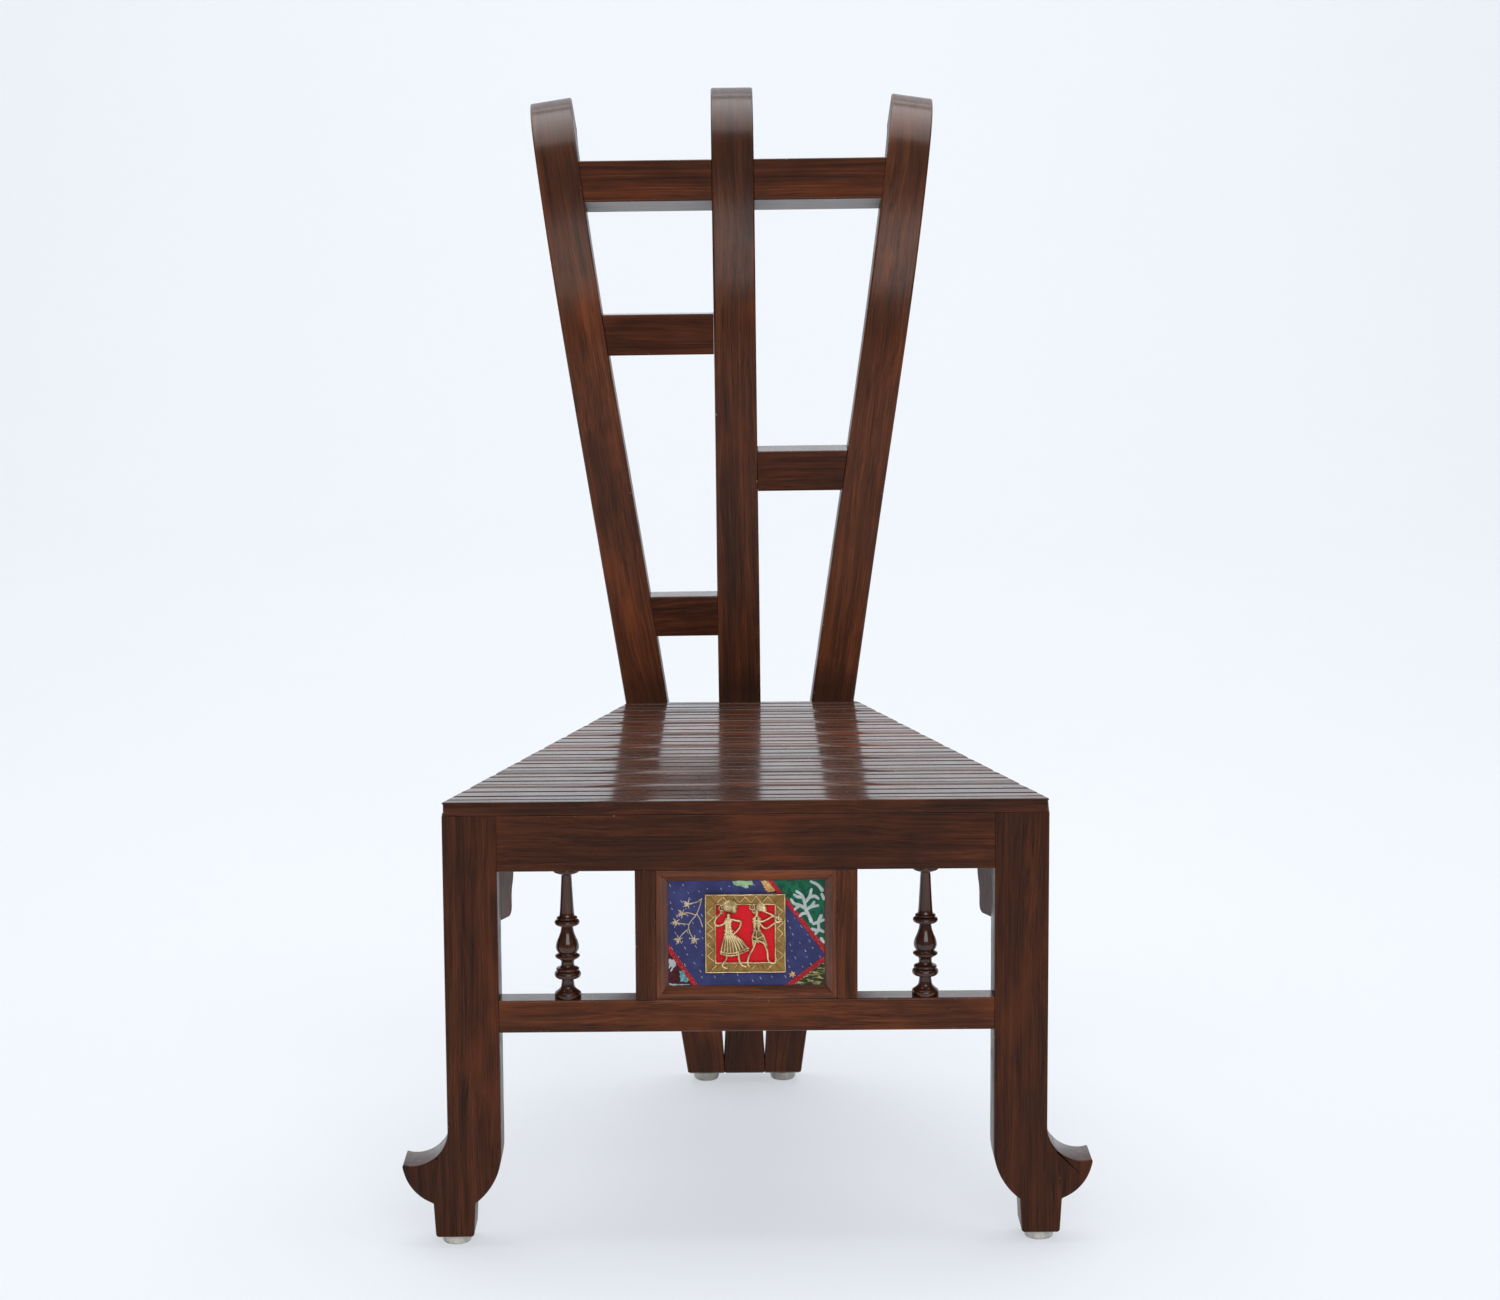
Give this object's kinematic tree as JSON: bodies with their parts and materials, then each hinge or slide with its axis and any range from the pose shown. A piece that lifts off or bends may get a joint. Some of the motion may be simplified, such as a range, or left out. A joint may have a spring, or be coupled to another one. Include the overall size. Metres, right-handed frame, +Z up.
{
  "type": "slipper chair",
  "caption": "Low slipper chair in dark polished wood: tapering slatted seat, fan of curved posts with short rails, curled front feet, and a picture panel with a brass plate under the apron.",
  "frame": {"origin": "on the floor, under the middle of the chair's width and depth", "axes": "+Z up, -Y is the front of the chair, where the sitter's feet are, +Y is the back, and +X is the right side of the chair as the picture shows it"},
  "size_m": [0.6454, 0.6076, 1.0861],
  "materials": {
    "rosewood": "dark red-brown rosewood with a satin-gloss lacquer, worn pale at some edges",
    "dowel_wood": "plain beech",
    "antique_brass": "cast brass with dark patina in the hollows",
    "red_felt": "matt wool felt",
    "patchwork": "dark blue cotton with white running stitches, applied patches in red, cream and green",
    "glide_plastic": "off-white nylon",
    "nail_steel": "plain steel wire"
  },
  "bodies": {
    "root": {"back_post_left": "rosewood", "back_post_middle": "rosewood", "back_post_right": "rosewood", "back_rail_lower_left": "rosewood", "back_rail_right": "rosewood", "back_rail_upper_left": "rosewood", "bracket_left": "rosewood", "bracket_right": "rosewood", "brass_plate": "antique_brass", "front_apron": "rosewood", "front_leg_left": "rosewood", "front_leg_right": "rosewood", "glide_front_left": "glide_plastic", "glide_front_right": "glide_plastic", "glide_nails": "nail_steel", "glide_rear_left": "glide_plastic", "glide_rear_right": "glide_plastic", "lower_rail": "rosewood", "panel_board": "rosewood", "panel_stile_left": "rosewood", "panel_stile_right": "rosewood", "panel_strip_bottom": "rosewood", "panel_strip_left": "rosewood", "panel_strip_right": "rosewood", "panel_strip_top": "rosewood", "patchwork_cloth": "patchwork", "rear_seat_rail": "rosewood", "red_felt": "red_felt", "seat_bearer": "rosewood", "seat_slat_1": "rosewood", "seat_slat_2": "rosewood", "seat_slat_3": "rosewood", "seat_slat_4": "rosewood", "seat_slat_5": "rosewood", "seat_slat_6": "rosewood", "seat_slat_7": "rosewood", "seat_slat_8": "rosewood", "side_rail_left": "rosewood", "side_rail_right": "rosewood", "slat_dowels": "dowel_wood", "spindle_left": "rosewood", "spindle_right": "rosewood", "top_rail_left": "rosewood", "top_rail_right": "rosewood"}
  },
  "joints": []
}
